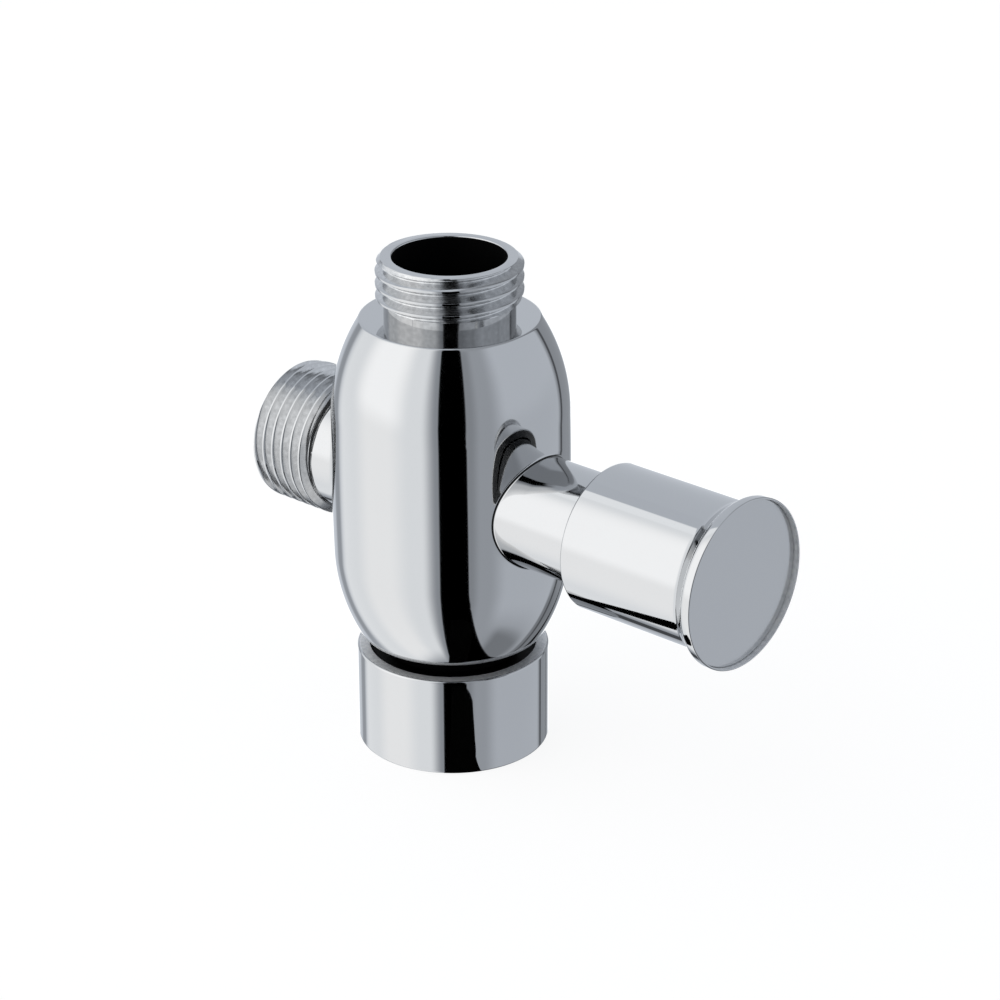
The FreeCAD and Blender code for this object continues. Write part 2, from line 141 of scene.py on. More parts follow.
class NeckSizes(bpy.types.PropertyGroup):
    radius: size("Neck radius", "Radius of the neck that carries the knob", 8.1)
    fillet: size("Neck fillet", "Blend between barrel and neck", 0.5)
    tail: size("Tail radius", "Radius of the inlet tail", 8.2)
    tail_shoulder: size("Tail shoulder", "Radius of the step above the nut", 9.6)
    play: size("Nut end play", "Gap between the nut and the step above it", 0.3)
    groove_depth: size("Groove depth", "Depth of the snap ring's groove", 0.8)
    groove_low: size("Groove floor height", "Lower side of the groove", 10.75)
    groove_high: size("Groove top height", "Upper side of the groove", 12.35)


class WaterwaySizes(bpy.types.PropertyGroup):
    bore_edge: size("Bore edge", "Rounding of the bores' mouths", 0.3)
    top_bore: size("Top bore", "Radius of the upper outlet", 8.09)
    top_floor: size("Top bore floor", "Height of the upper bore's floor", 51.2)
    top_passage: size("Top passage", "Radius of the hole down to the bush", 2.5)
    top_passage_x: size("Top passage place", "How far that hole stands off the barrel axis", 5.5)
    side_bore: size("Side bore", "Radius of the side outlet", 6.0)
    side_floor: size("Side bore floor", "How deep the side bore reaches, from the barrel axis", 16.6)
    seat: size("Side seat", "Radius of the way through the seat", 4.3)
    seat_lip: size("Seat lip", "Outer radius of the raised lip", 4.9)
    seat_face: size("Seat face", "Distance of the lip's face from the barrel axis", 13.7)
    chamber_end: size("Chamber end", "Distance of the chamber's end from the barrel axis", 14.2)
    chamber: size("Chamber", "Radius of the chamber", 6.5)
    bush_thread: size("Bush thread", "Where the bush's threaded hole starts, from the barrel axis", 22.0)
    bush_hole: size("Bush hole", "Radius of the bush's threaded hole", 7.0)
    inlet: size("Inlet bore", "Radius of the bore through the tail", 5.6)
    gallery: size("Gallery", "Radius of the gallery above the tail", 10.5)
    gallery_base: size("Gallery base", "Height where the gallery starts to open", 19.5)
    gallery_cone: size("Gallery cone", "Height of its sloping floor", 2.45)
    gallery_top: size("Gallery roof", "Height of the gallery's roof", 30.0)
    inlet_passage: size("Inlet passage", "Radius of the hole up to the chamber", 3.5)
    inlet_passage_x: size("Inlet passage place", "Where that hole stands along the valve axis", -6.5)


class NutSizes(bpy.types.PropertyGroup):
    radius: measured("Nut radius", "Outer radius of the swivel nut", NUT_HIGH.x)
    height: measured("Nut height", "Height of the swivel nut", NUT_HIGH.z)
    edge: size("Edge rounding", "Rounding of the nut's outer edges", 0.3)
    bore: size("Bore", "Radius of the hole around the tail", 8.28)
    flange: size("Flange", "Thickness of the nut's top", 2.4)
    collar: size("Collar", "Width of the raised edge around the recessed top", 1.8)
    recess: size("Recess", "Depth of the recessed top", 1.0)
    relief: size("Relief", "Radius of the plain space above the thread", 10.216)
    thread_root: size("Minor radius", "Inner radius of the female thread", 9.316)
    thread_length: size("Thread length", "Height of the threaded stretch", 8.0)
    mouth: size("Mouth chamfer", "Chamfer where the thread starts", 0.5)


class KnobSizes(bpy.types.PropertyGroup):
    back: measured("Back", "Where the sleeve starts", KNOB_LOW.x)
    face: measured("Face", "Where the pull rim ends", KNOB_HIGH.x)
    sleeve: size("Sleeve radius", "Outer radius of the sleeve", 10.58)
    bore: size("Sleeve bore", "Inner radius of the sleeve", 8.4)
    sleeve_edge: size("Sleeve edge", "Rounding of the sleeve's open end", 0.3)
    cove: size("Cove", "Hollow rounding between sleeve and flare", 1.5)
    flare: angle("Flare", "Slope of the flare behind the rim", 35)
    rim: measured("Rim radius", "Outer radius of the pull rim", KNOB_HIGH.y)
    rim_band: size("Rim band", "Width of the rim's straight side", 1.3)
    rim_edge: size("Rim edge", "Rounding of the rim's front edge", 0.22)
    rim_back: size("Rim back", "Rounding between the flare and the rim's side", 0.25)
    web_back: size("Web back", "Where the inner wall starts", 46.5)
    web_front: size("Web front", "Where the inner wall ends", 47.9)
    hole: size("Hole", "Radius of the hole for the spindle's end", 2.7)
    pocket: size("Pocket", "Radius around the screw head", 4.2)
    cap: measured("Cap radius", "Radius of the cap", CAP_HIGH.y)
    cap_gap: size("Cap gap", "Clearance around the cap", 0.05)
    cap_back: measured("Cap back", "Where the cap starts", CAP_LOW.x)
    cap_face: measured("Cap face", "Where the cap ends", CAP_HIGH.x)
    cap_flange: size("Cap flange", "Thickness of the cap's disc", 0.5)
    cap_plug: size("Cap plug", "Radius of the plug behind the disc", 10.0)
    cap_edge: size("Cap edge", "Rounding of the cap's face", 0.1)


class Finishes(bpy.types.PropertyGroup):
    chrome: tint("Chrome", "Colour of the chrome plate", (0.55, 0.556, 0.563))
    brass: tint("Brass", "Colour of turned brass", (0.78, 0.60, 0.28))
    steel: tint("Steel", "Colour of stainless steel", (0.62, 0.62, 0.63))
    rubber: tint("Rubber", "Colour of the seals", (0.03, 0.03, 0.03))
    polish: share("Polish", "Roughness of the polished plate", 0.045)
    # Painted shade: near black in the bores, on the tail in the gap above the nut and inside the nut; in the bores
    # it stands for their bare metal and their shade both
    bore_and_gap_shade: share("Dark bores", "Tone of the unplated bores and of the gap above the nut", 0.012)
    groove: share("Thread grooves", "Tone of the plate down in the thread grooves", 1.08)
    # Painted shade: the relief between the shoulder and the top thread is darkened below the plate's own tone
    relief: share("Top relief", "Tone of the thin plate between shoulder and top thread", 0.76)
    foot: share("Foot", "Tone of the shaded rounding at the barrel's foot", 0.5)
    runout: share("Thread runout", "Tone of the shaded slope behind the side thread", 0.12)
    # Painted shade: a line in the crease where the neck leaves the barrel, darkened almost to black
    root: share("Neck root", "Tone of the unpolished line where the neck leaves the barrel", 0.05)
    # Painted shade: the sleeve's end face is darkened, and the polish beside it shows it as a shaded face
    sleeve_end_shade: share("Sleeve end", "Tone of the unpolished end face of the knob's sleeve", 0.12)
    turned: share("Turned faces", "Roughness of the nut's top and of the wall around the cap", 0.6)
    # Painted light: this tone, above 1, brightens the nut's top and the wall around the cap past the plate's own
    # colour, against the shade that the parts around them cast
    turned_painted_light: share("Turned tone", "Tone of those turned faces against the polished plate", 1.75)
    satin: share("Cap face", "Roughness of the knob's cap", 0.17)
    ripple: size("Ripple", "Height of the faint unevenness under the polish", 0.0015)


class StudioSettings(bpy.types.PropertyGroup):
    distance: size("Distance", "From the lens to the crossing of the two axes", 483.02)
    azimuth: angle("Azimuth", "Turn of the camera from the knob's side towards the front", 47.482)
    elevation: angle("Elevation", "Height of the camera above the valve axis", 23.637)
    yaw: angle("Yaw", "How far the camera looks to the right of the crossing", 0.820)
    pitch: angle("Pitch", "How far the camera looks above the crossing", -0.345)
    roll: angle("Roll", "Turn of the picture", -0.194)
    lens: FloatProperty(name="Lens", description="Focal length in mm", default=121.3)
    light: FloatProperty(name="Studio light", description="Strength of the studio light", default=1.42)
    floor: FloatProperty(name="Floor size", description="Width of the floor", default=6.0, unit="LENGTH")
    floor_tint: tint("Floor colour", "Colour of the pale floor", (0.9, 0.9, 0.9))
    floor_glow: FloatProperty(name="Floor glow", description="Whiteness of the floor for the camera", default=1.09)


def on_axis(axis, along, radius):
    return axis.origin + axis.along * along + axis.out * radius


def held_corners(corners, closed):
    """The corners, with points beside the roundings of long flats that keep the flats' shading flat."""
    held = []
    for index, (along, radius, rounding) in enumerate(corners):
        for step in (-1, 0, 1):
            if step == 0:
                held.append((along, radius, rounding))
                continue
            other = index + step
            if rounding == 0 or (not closed and not 0 <= other < len(corners)):
                continue
            far_along, far_radius, far_rounding = corners[other % len(corners)]
            length = math.hypot(far_along - along, far_radius - radius)
            if length > rounding + far_rounding + SHORT_FLAT:
                part = (rounding + HOLD) / length
                held.append((along + (far_along - along) * part, radius + (far_radius - radius) * part, 0))
    return held


def draw_outline(bm, axis, corners, closed):
    """Wire through (along, radius, rounding) corners; corners with a rounding are bevelled."""
    verts = [bm.verts.new(on_axis(axis, along, radius)) for along, radius, _ in corners]
    pairs = list(zip(verts, verts[1:]))
    if closed:
        pairs.append((verts[-1], verts[0]))
    for pair in pairs:
        bm.edges.new(pair)
    for vert, (_, _, rounding) in zip(verts, corners):
        if rounding > 0:
            bmesh.ops.bevel(
                bm, geom=[vert], offset=rounding, offset_type="OFFSET", segments=ROUND_STEPS,
                profile=0.5, affect="VERTICES", material=-1,
            )


def turn_outline(bm, axis, steps=TURN_STEPS):
    """Turns everything in the mesh once about the axis and welds the seam and the poles."""
    bmesh.ops.spin(
        bm, geom=bm.verts[:] + bm.edges[:], cent=axis.origin, axis=axis.along,
        angle=FULL_TURN, steps=steps, use_merge=True,
    )
    bmesh.ops.remove_doubles(bm, verts=bm.verts[:], dist=MERGE_GAP)
    bmesh.ops.recalc_face_normals(bm, faces=bm.faces[:])


def turned(axis, corners, closed=False, steps=TURN_STEPS):
    """Solid turned from corners: an outline that ends on the axis, or a closed one beside it."""
    bm = bmesh.new()
    draw_outline(bm, axis, held_corners(corners, closed), closed)
    turn_outline(bm, axis, steps)
    return bm


def barrel_outline(barrel, z):
    """Radius of the barrel at a height, and the outward normal there as (radial, upward)."""
    belly_z = AXIS_HEIGHT + barrel.belly_rise
    rise = z - belly_z
    sign = 1 if rise > 0 else -1
    tilt = math.asin(barrel.crown_half / barrel.crown_arc)
    if abs(rise) <= barrel.crown_half:
        arc = barrel.crown_arc
        centre = (barrel.belly - arc, 0.0)
    else:
        end_radius = barrel.shoulder if rise > 0 else barrel.foot
        end_z = barrel.base + barrel.length if rise > 0 else barrel.base
        crown_end = barrel.belly - barrel.crown_arc * (1 - math.cos(tilt))
        inward = crown_end - end_radius
        along = abs(end_z - belly_z) - barrel.crown_half
        drop = inward * math.cos(tilt) - along * math.sin(tilt)
        arc = (inward**2 + along**2) / (2 * drop)
        centre = (crown_end - arc * math.cos(tilt), sign * (barrel.crown_half - arc * math.sin(tilt)))
    upward = (rise - centre[1]) / arc
    outward = math.sqrt(1 - upward**2)
    return centre[0] + arc * outward, outward, upward


def on_barrel(barrel, turn, z):
    """Point of the barrel's surface at a turn about its axis and a height."""
    radius = barrel_outline(barrel, z)[0]
    return Vector((radius * math.cos(turn), radius * math.sin(turn), z))


def blend_arc(barrel, side, branch_radius, fillet, phi, steps):
    """Points of a rolling-ball blend from the barrel to a branch, at an angle about the branch."""
    ball_y = (branch_radius + fillet) * math.cos(phi)
    ball_z = AXIS_HEIGHT + (branch_radius + fillet) * math.sin(phi)
    foot_z = ball_z
    for _ in range(8):
        radius, outward, upward = barrel_outline(barrel, foot_z)
        foot_z = ball_z - fillet * upward
    radius, outward, upward = barrel_outline(barrel, foot_z)
    reach = radius + fillet * outward
    ball = Vector((side * math.sqrt(reach**2 - ball_y**2), ball_y, ball_z))
    foot = Vector((ball.x * radius / reach, ball.y * radius / reach, foot_z))
    landing = Vector((ball.x, branch_radius * math.cos(phi), AXIS_HEIGHT + branch_radius * math.sin(phi)))
    from_barrel = foot - ball
    to_branch = landing - ball
    spread = from_barrel.angle(to_branch)
    arc = []
    for step in range(steps + 1):
        part = step / steps
        near = math.sin((1 - part) * spread) / math.sin(spread)
        far = math.sin(part * spread) / math.sin(spread)
        arc.append(ball + from_barrel * near + to_branch * far)
    return arc


def grow_ring(bm, ring, places):
    """Extrudes a closed ring of vertices once, onto the given places, and returns the new ring."""
    edges = [bm.edges.get((ring[index - 1], ring[index])) for index in range(len(ring))]
    made = bmesh.ops.extrude_edge_only(bm, edges=edges)["geom"]
    fresh = {item for item in made if isinstance(item, bmesh.types.BMVert)}
    grown = []
    for vert, place in zip(ring, places):
        twin = next(edge.other_vert(vert) for edge in vert.link_edges if edge.other_vert(vert) in fresh)
        twin.co = place
        grown.append(twin)
    return grown


def cut_window(bm, side, half_turn, half_height):
    """Opens the barrel's grid around a branch and returns the window's border, in order."""
    doomed = set()
    for face in bm.faces:
        middle = face.calc_center_median()
        turn = math.atan2(middle.y, side * middle.x)
        if abs(turn) < half_turn and abs(middle.z - AXIS_HEIGHT) < half_height:
            doomed.add(face)
    border = set()
    for face in doomed:
        for edge in face.edges:
            if sum(linked in doomed for linked in edge.link_faces) == 1:
                border.update(edge.verts)
    bmesh.ops.delete(bm, geom=list(doomed), context="FACES")
    return sorted(border, key=lambda vert: math.atan2(vert.co.z - AXIS_HEIGHT, vert.co.y))


def grow_branch(bm, barrel, side, branch_radius, fillet, window, rounds):
    """Grows a branch out of the barrel: skin around it, blend, and the (distance, radius) rounds."""
    skin_steps, blend_steps = 12, 10
    ring = cut_window(bm, side, *window)
    count = len(ring)
    phis = [-math.pi + FULL_TURN * (index + 0.5) / count for index in range(count)]
    arcs = [blend_arc(barrel, side, branch_radius, fillet, phi, blend_steps) for phi in phis]
    starts = [(math.atan2(vert.co.y, side * vert.co.x), vert.co.z) for vert in ring]
    ends = [(math.atan2(arc[0].y, side * arc[0].x), arc[0].z) for arc in arcs]
    for step in range(1, skin_steps + 1):
        part = step / skin_steps
        places = []
        for start, end in zip(starts, ends):
            turn = start[0] + (end[0] - start[0]) * part
            place = on_barrel(barrel, turn, start[1] + (end[1] - start[1]) * part)
            place.x *= side
            places.append(place)
        ring = grow_ring(bm, ring, places)
    for step in range(1, blend_steps + 1):
        ring = grow_ring(bm, ring, [arc[step] for arc in arcs])
    first_distance = rounds[0][0]
    straight_steps = 6
    for step in range(1, straight_steps + 1):
        part = step / straight_steps
        places = []
        for phi, arc in zip(phis, arcs):
            distance = abs(arc[-1].x) + (first_distance - abs(arc[-1].x)) * part
            places.append(branch_place(side, distance, branch_radius, phi))
        ring = grow_ring(bm, ring, places)
    for distance, radius in rounds[1:]:
        ring = grow_ring(bm, ring, [branch_place(side, distance, radius, phi) for phi in phis])
    edges = [bm.edges.get((ring[index - 1], ring[index])) for index in range(count)]
    bmesh.ops.contextual_create(bm, geom=edges)


def branch_place(side, distance, radius, phi):
    return Vector((side * distance, radius * math.cos(phi), AXIS_HEIGHT + radius * math.sin(phi)))


def body_skin(scene):
    """Outer form of the forging without its threads and waterways."""
    barrel, spigot, neck = scene.valve_barrel, scene.valve_spigot, scene.valve_neck
    top = barrel.base + barrel.length
    tail_end = BODY_LOW.z
    step_z = NUT_HIGH.z - scene.valve_nut.recess + neck.play
    groove = neck.tail - neck.groove_depth
    core_top = BODY_HIGH.z - spigot.rim_edge * 2
    thread_z = top + spigot.top_relief - spigot.back_chamfer
    below = [
        (tail_end, 0, 0),
        (tail_end, neck.tail, spigot.rim_edge),
        (neck.groove_low, neck.tail, 0),
        (neck.groove_low, groove, 0),
        (neck.groove_high, groove, 0),
        (neck.groove_high, neck.tail, 0),
        (step_z, neck.tail, 0),
        (step_z, neck.tail_shoulder, spigot.rim_edge),
        (barrel.base, neck.tail_shoulder, 0),
    ]
    wall = []
    for row in range(barrel.rows + 1):
        rise = barrel.length * row / barrel.rows
        edge = {0: barrel.foot_edge, barrel.rows: barrel.top_edge}.get(row, 0)
        if row == 0 or rise > 1.2 * barrel.foot_edge:
            z = barrel.base + rise
            wall.append((z, barrel_outline(barrel, z)[0], edge))
    above = [
        (top, spigot.relief, 0),
        (thread_z, spigot.relief, 0),
        (thread_z, spigot.core, 0),
        (core_top, spigot.core, 0),
        (core_top, 0, 0),
    ]
    bm = turned(BARREL_AXIS, below + wall + above)
    side_end = -BODY_LOW.x
    side_thread = side_end - spigot.side_thread
    relief_end = side_thread - spigot.back_chamfer
    side_rounds = [
        (relief_end, spigot.relief),
        (relief_end, spigot.core),
        (side_end - spigot.rim_edge * 2, spigot.core),
    ]
    neck_end = BODY_HIGH.x
    edge = spigot.rim_edge
    neck_rounds = [(neck_end - edge, neck.radius)]
    for step in range(1, ROUND_STEPS + 1):
        turn = math.pi / 2 * step / ROUND_STEPS
        neck_rounds.append((neck_end - edge + edge * math.sin(turn), neck.radius - edge + edge * math.cos(turn)))
    side_window = (math.radians(50.7), 14.5 * MM)
    neck_window = (math.radians(43.2), 12.5 * MM)
    grow_branch(bm, barrel, -1, spigot.relief, spigot.side_fillet, side_window, side_rounds)
    grow_branch(bm, barrel, 1, neck.radius, neck.fillet, neck_window, neck_rounds)
    bmesh.ops.recalc_face_normals(bm, faces=bm.faces[:])
    return bm


def thread_bar(spigot, axis, start, end, phase, limit, crest):
    """Round bar with the pipe thread cut on it, its crests held under limit(along)."""
    pitch = spigot.pitch
    root = crest - spigot.depth
    middle = (crest + root) / 2
    point_reach = 0.4802 * pitch
    turns = math.ceil((end - start) / pitch) + 2
    first = start - pitch * (1.5 + phase / FULL_TURN)
    bm = bmesh.new()
    draw_outline(bm, axis, [
        (first, middle, 0),
        (first + pitch / 4, middle + point_reach, spigot.round_reach),
        (first + pitch * 3 / 4, middle - point_reach, spigot.round_reach),
        (first + pitch, middle, 0),
    ], closed=False)
    flanks = [edge for edge in bm.edges if edge.calc_length() > 0.1 * pitch]
    bmesh.ops.subdivide_edges(bm, edges=flanks, cuts=3)
    bmesh.ops.spin(
        bm, geom=bm.verts[:] + bm.edges[:], cent=axis.origin, axis=axis.along,
        dvec=axis.along * (pitch / THREAD_STEPS), angle=FULL_TURN, steps=THREAD_STEPS,
    )
    one_turn = bm.verts[:] + bm.edges[:] + bm.faces[:]
    for turn in range(1, turns):
        copied = bmesh.ops.duplicate(bm, geom=one_turn)["geom"]
        verts = [item for item in copied if isinstance(item, bmesh.types.BMVert)]
        bmesh.ops.translate(bm, verts=verts, vec=axis.along * (pitch * turn))
    bmesh.ops.remove_doubles(bm, verts=bm.verts[:], dist=MERGE_GAP)
    for vert in bm.verts:
        offset = vert.co - axis.origin
        along = offset.dot(axis.along)
        radial = offset - axis.along * along
        if radial.length > limit(along):
            vert.co = axis.origin + axis.along * along + radial.normalized() * limit(along)
    for place, keep in ((start, -1), (end, 1)):
        bmesh.ops.bisect_plane(
            bm, geom=bm.verts[:] + bm.edges[:] + bm.faces[:], dist=MERGE_GAP / 10,
            plane_co=on_axis(axis, place, 0), plane_no=axis.along * keep, clear_outer=True,
        )
    bmesh.ops.holes_fill(bm, edges=[edge for edge in bm.edges if edge.is_boundary], sides=0)
    bmesh.ops.recalc_face_normals(bm, faces=bm.faces[:])
    return bm


def male_limit(spigot, rim_at, back_at):
    """Largest radius of a male thread: the rim's edge and chamfer, and the slope behind it."""
    def limit(along):
        depth = max(rim_at - along, 0.0)
        edge = spigot.rim_edge
        if depth < edge:
            chamfer = spigot.rim - edge + math.sqrt(edge**2 - (edge - depth) ** 2)
        else:
            chamfer = spigot.rim + depth - edge
        rise = (along - back_at + spigot.back_chamfer) / spigot.back_chamfer
        slope = spigot.relief + max(rise, -0.05) * (spigot.crest - spigot.relief)
        return min(spigot.crest, chamfer, slope)

    return limit


def waterways(scene):
    """The shapes that are cut out of the forging, one solid each."""
    way, spigot = scene.valve_waterways, scene.valve_spigot
    top_end, side_end, neck_end = BODY_HIGH.z, -BODY_LOW.x, BODY_HIGH.x
    edge = way.bore_edge
    top_bore = turned(BARREL_AXIS, [
        (way.top_floor, 0, 0),
        (way.top_floor, way.top_bore, 0),
        (top_end, way.top_bore, edge),
        (top_end, way.top_bore + edge, 0),
        (top_end + OVERSHOOT, way.top_bore + edge, 0),
        (top_end + OVERSHOOT, 0, 0),
    ])
    passage_axis = BARREL_AXIS._replace(origin=Vector((way.top_passage_x, 0, 0)))
    top_passage = bored(passage_axis, way.top_passage, AXIS_HEIGHT, way.top_floor + OVERSHOOT)
    side_bore = turned(SIDE_AXIS, [
        (side_end + OVERSHOOT, 0, 0),
        (side_end + OVERSHOOT, way.side_bore + edge, 0),
        (side_end, way.side_bore + edge, 0),
        (side_end, way.side_bore, edge),
        (way.side_floor, way.side_bore, 0),
        (way.side_floor, way.seat, 0),
        (way.seat_face, way.seat, 0),
        (way.seat_face, way.seat_lip, 0),
        (way.chamber_end, way.seat_lip, 0),
        (way.chamber_end, way.chamber, 0),
        (-way.bush_thread, way.chamber, 0),
        (-way.bush_thread, way.bush_hole, 0),
        (-neck_end - OVERSHOOT, way.bush_hole, 0),
        (-neck_end - OVERSHOOT, 0, 0),
    ])
    gallery = turned(BARREL_AXIS, [
        (BODY_LOW.z - OVERSHOOT, 0, 0),
        (BODY_LOW.z - OVERSHOOT, way.inlet, 0),
        (way.gallery_base, way.inlet, 0),
        (way.gallery_base + way.gallery_cone, way.gallery, 0),
        (way.gallery_top, way.gallery, 0),
        (way.gallery_top, 0, 0),
    ])
    inlet_axis = BARREL_AXIS._replace(origin=Vector((way.inlet_passage_x, 0, 0)))
    inlet_passage = bored(inlet_axis, way.inlet_passage, way.gallery_top - OVERSHOOT, AXIS_HEIGHT)
    return [top_bore, top_passage, side_bore, gallery, inlet_passage]


def bored(axis, radius, start, end):
    return turned(axis, [(start, 0, 0), (start, radius, 0), (end, radius, 0), (end, 0, 0)], steps=96)


def as_object(bm, name):
    mesh = bpy.data.meshes.new(name)
    bm.to_mesh(mesh)
    bm.free()
    piece = bpy.data.objects.new(name, mesh)
    bpy.context.scene.collection.objects.link(piece)
    return piece


def combine(piece, tools):
    """Joins or cuts the piece with each (operation, mesh) tool, and removes the tools."""
    helpers = []
    for operation, bm in tools:
        helper = as_object(bm, "tool")
        helpers.append(helper)
        change = piece.modifiers.new("combine", "BOOLEAN")
        change.operation = operation
        change.object = helper
        change.solver = "MANIFOLD"
    bpy.context.view_layer.update()
    finished = piece.evaluated_get(bpy.context.evaluated_depsgraph_get())
    mesh = bpy.data.meshes.new_from_object(finished)
    piece.modifiers.clear()
    piece.data = mesh
    for helper in helpers:
        bpy.data.objects.remove(helper)


def place_piece(piece, material, body, node):
    """Shades the piece, gives it its finish and sets it in the place of its node."""
    mesh = piece.data
    mesh.name = piece.name
    mesh.shade_smooth()
    mesh.set_sharp_from_angle(angle=SHARP_ANGLE)
    mesh.materials.clear()
    mesh.materials.append(material)
    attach(piece, body)
    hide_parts(node)


def multiplied(nodes, links, first, second):
    product = nodes.new("ShaderNodeMath")
    product.operation = "MULTIPLY"
    links.new(first, product.inputs[0])
    links.new(second, product.inputs[1])
    return product.outputs["Value"]


def band(nodes, links, value, start, end, soft):
    """Socket that is 1 between start and end of a value and fades to 0 over soft outside them."""
    rising = nodes.new("ShaderNodeMapRange")
    rising.interpolation_type = "SMOOTHSTEP"
    rising.inputs["From Min"].default_value = start - soft
    rising.inputs["From Max"].default_value = start
    links.new(value, rising.inputs["Value"])
    falling = nodes.new("ShaderNodeMapRange")
    falling.interpolation_type = "SMOOTHSTEP"
    falling.inputs["From Min"].default_value = end
    falling.inputs["From Max"].default_value = end + soft
    falling.inputs["To Min"].default_value = 1
    falling.inputs["To Max"].default_value = 0
    links.new(value, falling.inputs["Value"])
    return multiplied(nodes, links, rising.outputs["Result"], falling.outputs["Result"])


def new_material(name):
    material = bpy.data.materials.new(name)
    material.use_nodes = True
    nodes = material.node_tree.nodes
    shader = nodes["Principled BSDF"]
    return material, nodes, material.node_tree.links, shader


# A place where the plate differs, or where shade or light is painted on it: a ring about an axis, the softness of
# its edges, tone and roughness
Patch = namedtuple("Patch", "axis start end inner outer soft tone roughness")


def patch_cover(nodes, links, place, patch):
    """Socket that is 1 inside the patch's ring and 0 outside it."""
    offset = nodes.new("ShaderNodeVectorMath")
    offset.operation = "SUBTRACT"
    links.new(place, offset.inputs[0])
    offset.inputs[1].default_value = patch.axis.origin
    along = nodes.new("ShaderNodeVectorMath")
    along.operation = "DOT_PRODUCT"
    links.new(offset.outputs["Vector"], along.inputs[0])
    along.inputs[1].default_value = patch.axis.along
    square = nodes.new("ShaderNodeVectorMath")
    square.operation = "CROSS_PRODUCT"
    links.new(offset.outputs["Vector"], square.inputs[0])
    square.inputs[1].default_value = patch.axis.along
    radius = nodes.new("ShaderNodeVectorMath")
    radius.operation = "LENGTH"
    links.new(square.outputs["Vector"], radius.inputs[0])
    return multiplied(
        nodes, links,
        band(nodes, links, along.outputs["Value"], patch.start, patch.end, 0.02 * MM),
        band(nodes, links, radius.outputs["Value"], patch.inner, patch.outer, patch.soft),
    )


def polished_chrome(finish, name, polish, patches=()):
    """Chrome plate: polish over a faint ripple, duller in its patches, and darker or lighter in those that paint
    shade or light.
    """
    material, nodes, links, shader = new_material(name)
    shader.inputs["Metallic"].default_value = 1.0
    place = nodes.new("ShaderNodeTexCoord").outputs["Object"]

    cloud = nodes.new("ShaderNodeTexNoise")
    cloud.inputs["Scale"].default_value = 90
    cloud.inputs["Detail"].default_value = 3
    links.new(place, cloud.inputs["Vector"])

    tone = nodes.new("ShaderNodeMix")
    tone.data_type = "RGBA"
    links.new(cloud.outputs["Fac"], tone.inputs["Factor"])
    tone.inputs["A"].default_value = (*[channel * 0.985 for channel in finish.chrome], 1)
    tone.inputs["B"].default_value = (*[min(channel * 1.015, 1) for channel in finish.chrome], 1)
    colour = tone.outputs["Result"]

    haze = nodes.new("ShaderNodeMapRange")
    haze.inputs["To Min"].default_value = polish * 0.7
    haze.inputs["To Max"].default_value = polish * 1.5
    links.new(cloud.outputs["Fac"], haze.inputs["Value"])
    roughness = haze.outputs["Result"]

    speckle = nodes.new("ShaderNodeTexNoise")
    speckle.inputs["Scale"].default_value = 1400
    speckle.inputs["Detail"].default_value = 3
    links.new(place, speckle.inputs["Vector"])
    for patch in patches:
        cover = patch_cover(nodes, links, place, patch)
        mottled = nodes.new("ShaderNodeMix")
        mottled.data_type = "RGBA"
        links.new(speckle.outputs["Fac"], mottled.inputs["Factor"])
        mottled.inputs["A"].default_value = (*[channel * patch.tone * 0.7 for channel in finish.chrome], 1)
        mottled.inputs["B"].default_value = (*[channel * patch.tone * 1.3 for channel in finish.chrome], 1)
        tinted = nodes.new("ShaderNodeMix")
        tinted.data_type = "RGBA"
        links.new(cover, tinted.inputs["Factor"])
        links.new(colour, tinted.inputs["A"])
        links.new(mottled.outputs["Result"], tinted.inputs["B"])
        colour = tinted.outputs["Result"]
        dulled = nodes.new("ShaderNodeMix")
        links.new(cover, dulled.inputs["Factor"])
        links.new(roughness, dulled.inputs["A"])
        dulled.inputs["B"].default_value = patch.roughness
        roughness = dulled.outputs["Result"]
    links.new(colour, shader.inputs["Base Color"])
    links.new(roughness, shader.inputs["Roughness"])

    ripple = nodes.new("ShaderNodeTexNoise")
    ripple.inputs["Scale"].default_value = 220
    ripple.inputs["Detail"].default_value = 1
    links.new(place, ripple.inputs["Vector"])
    bump = nodes.new("ShaderNodeBump")
    bump.inputs["Strength"].default_value = 0.5
    bump.inputs["Distance"].default_value = finish.ripple
    links.new(ripple.outputs["Fac"], bump.inputs["Height"])
    links.new(bump.outputs["Normal"], shader.inputs["Normal"])
    return material


